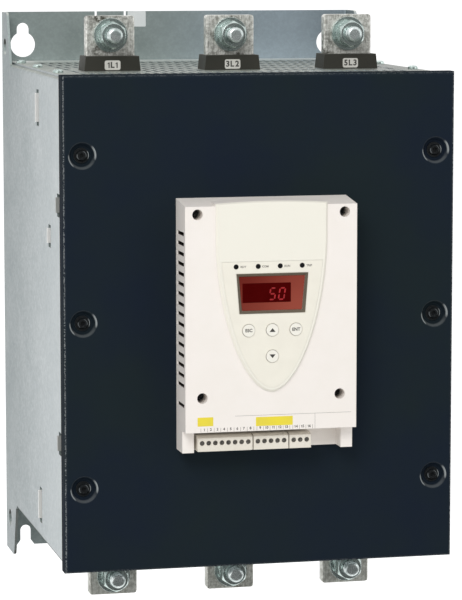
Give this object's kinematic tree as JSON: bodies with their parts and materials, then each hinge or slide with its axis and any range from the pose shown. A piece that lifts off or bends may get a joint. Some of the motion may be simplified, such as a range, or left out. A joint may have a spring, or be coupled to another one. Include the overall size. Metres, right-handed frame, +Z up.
{
  "type": "soft starter",
  "caption": "Wall-mounted motor soft starter: folded steel box with line and load bars, painted front cover and a control module with keypad, display and plug-in terminals.",
  "frame": {"origin": "centre of the back plate's rear face, on the wall plane", "axes": "+X to the right seen from the front, +Y into the wall (the front faces -Y), +Z up"},
  "size_m": [0.304, 0.3407, 0.458],
  "materials": {
    "galvanised_steel": "zinc coated, satin",
    "cover_paint": "fine textured satin powder coat",
    "tinned_bar": "tinned copper, brushed",
    "zinc_hardware": "zinc plated",
    "dark_screw": "blackened steel",
    "dark_insulation": "moulded, matte",
    "label_white": "printed label",
    "module_cream": "moulded, light satin",
    "film_cream": "printed film",
    "window_red": "tinted window",
    "display_red": "display face",
    "lamp_dark": "unlit lamp lens",
    "sink_aluminium": "extruded",
    "block_grey": "moulded power block",
    "transformer_black": "potted",
    "insulator_red": "moulded insulator",
    "fan_black": "moulded",
    "board_green": "lacquered board",
    "standoff_brass": "turned",
    "terminal_cream": "moulded"
  },
  "bodies": {
    "enclosure": {"chassis": "galvanised_steel", "top_plate": "galvanised_steel", "bottom_plate": "galvanised_steel", "upper_strap": "galvanised_steel", "lower_strap": "galvanised_steel", "board_tray": "galvanised_steel", "module_bracket": "galvanised_steel", "front_cover": "cover_paint", "cover_screws": "dark_screw", "module_screws": "dark_screw", "plate_screws": "zinc_hardware", "terminal_studs": "zinc_hardware", "terminal_nuts": "zinc_hardware", "spring_washers": "zinc_hardware", "flat_washers": "zinc_hardware", "bar_screws": "zinc_hardware", "fan_screws": "zinc_hardware", "block_screws": "zinc_hardware", "line_bar_1": "tinned_bar", "line_bar_2": "tinned_bar", "line_bar_3": "tinned_bar", "load_bar_1": "tinned_bar", "load_bar_2": "tinned_bar", "load_bar_3": "tinned_bar", "line_collar_1": "dark_insulation", "line_collar_2": "dark_insulation", "line_collar_3": "dark_insulation", "load_collar_1": "dark_insulation", "load_collar_2": "dark_insulation", "load_collar_3": "dark_insulation", "terminal_labels": "label_white", "bar_insulators": "insulator_red", "heat_sink": "sink_aluminium", "thyristor_1": "block_grey", "thyristor_2": "block_grey", "thyristor_3": "block_grey", "current_transformer_1": "transformer_black", "current_transformer_2": "transformer_black", "current_transformer_3": "transformer_black", "fan_frame_1": "fan_black", "fan_frame_2": "fan_black", "board_standoffs": "standoff_brass", "gate_board": "board_green", "control_board": "board_green", "module_base": "module_cream", "module_shell": "module_cream", "keypad_film": "film_cream", "display_window": "window_red", "display_block": "display_red", "lamp_lenses": "lamp_dark", "terminal_block_1": "terminal_cream", "terminal_block_2": "terminal_cream", "terminal_block_3": "terminal_cream"},
    "key_esc": {"key_esc": "module_cream"},
    "key_up": {"key_up_arrow": "module_cream"},
    "key_enter": {"key_enter": "module_cream"},
    "key_down": {"key_down_arrow": "module_cream"},
    "rotor_1": {"fan_rotor_1": "fan_black"},
    "rotor_2": {"fan_rotor_2": "fan_black"}
  },
  "joints": [
    {"name": "key_esc_press", "type": "slide", "parent": "enclosure", "child": "key_esc", "axis": [0, 1, 0], "range_m": [0, 0.0006], "stiffness_N_per_m": 1500, "springref_m": -0.0004},
    {"name": "key_up_press", "type": "slide", "parent": "enclosure", "child": "key_up", "axis": [0, 1, 0], "range_m": [0, 0.0006], "stiffness_N_per_m": 1500, "springref_m": -0.0004},
    {"name": "key_enter_press", "type": "slide", "parent": "enclosure", "child": "key_enter", "axis": [0, 1, 0], "range_m": [0, 0.0006], "stiffness_N_per_m": 1500, "springref_m": -0.0004},
    {"name": "key_down_press", "type": "slide", "parent": "enclosure", "child": "key_down", "axis": [0, 1, 0], "range_m": [0, 0.0006], "stiffness_N_per_m": 1500, "springref_m": -0.0004},
    {"name": "fan_1_spin", "type": "hinge", "parent": "enclosure", "child": "rotor_1", "pos_m": [-0.062, -0.065, -0.165], "axis": [0, 0, 1], "continuous": true},
    {"name": "fan_2_spin", "type": "hinge", "parent": "enclosure", "child": "rotor_2", "pos_m": [0.062, -0.065, -0.165], "axis": [0, 0, 1], "continuous": true}
  ]
}
